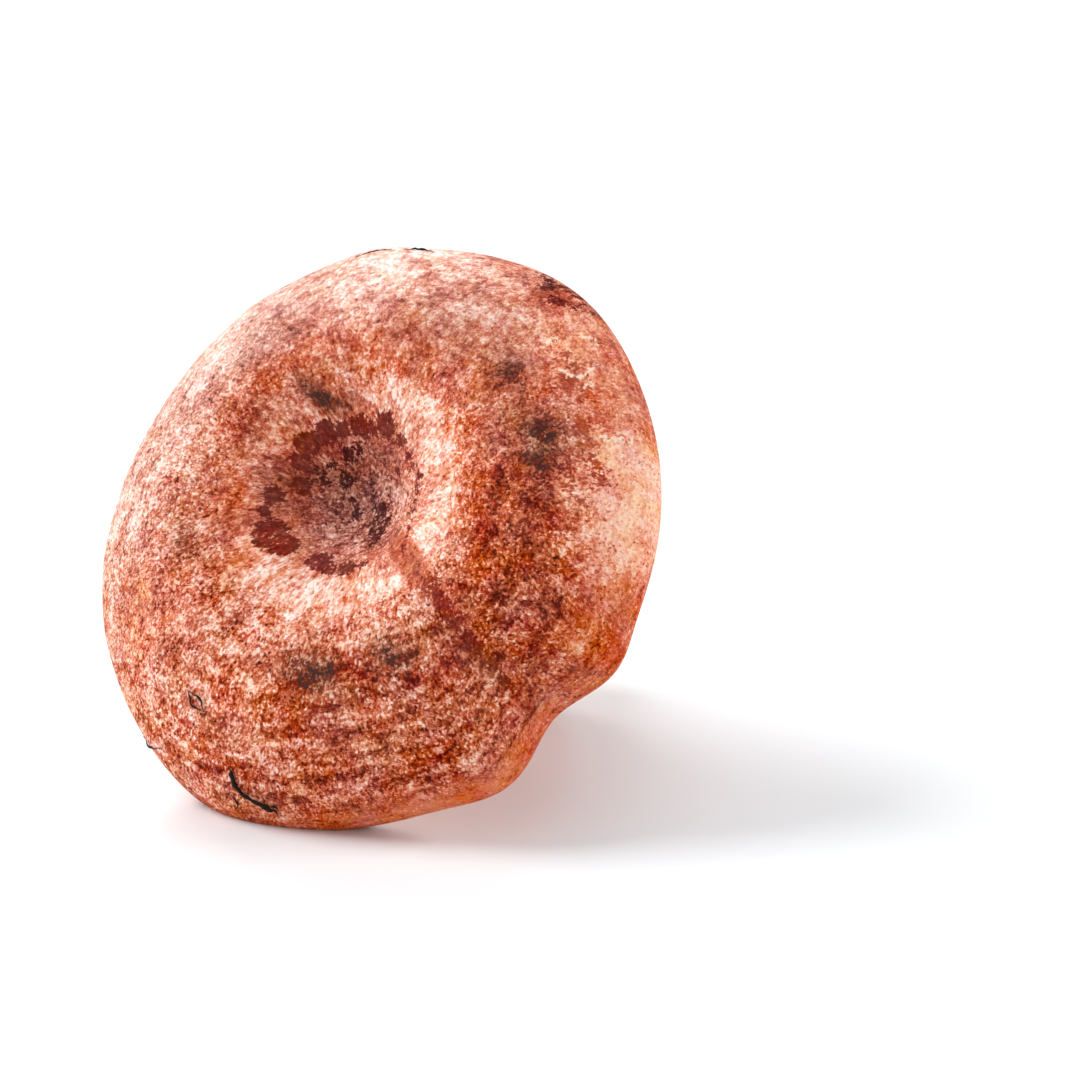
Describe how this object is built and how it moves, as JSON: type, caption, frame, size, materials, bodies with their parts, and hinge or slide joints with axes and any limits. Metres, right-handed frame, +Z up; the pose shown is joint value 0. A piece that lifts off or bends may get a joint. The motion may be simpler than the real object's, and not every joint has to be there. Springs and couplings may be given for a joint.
{
  "type": "saffron milk cap mushroom",
  "caption": "Whole wild mushroom with a sunken cap, crowded gills that run down the stem, and a stout cut stem; lies on its cap rim and stem foot.",
  "frame": {"origin": "on the floor under the middle of the mushroom's bounding box as it lies", "axes": "+Z up, the cap's face towards -Y and 34 degrees upwards, the stem towards +Y, +X across the cap"},
  "size_m": [0.1066, 0.0972, 0.092],
  "materials": {
    "cap_skin": "dry, finely felted skin with a pale bloom in rings over brick red",
    "gill_flesh": "moist smooth orange flesh",
    "stem_skin": "dry salmon orange skin with a pale bloom and orange pits",
    "dry_needle": "dry brown black pine needle"
  },
  "bodies": {
    "root": {"cap": "cap_skin", "gills": "gill_flesh", "stem": "stem_skin", "pine_needle_scrap": "dry_needle"}
  },
  "joints": []
}
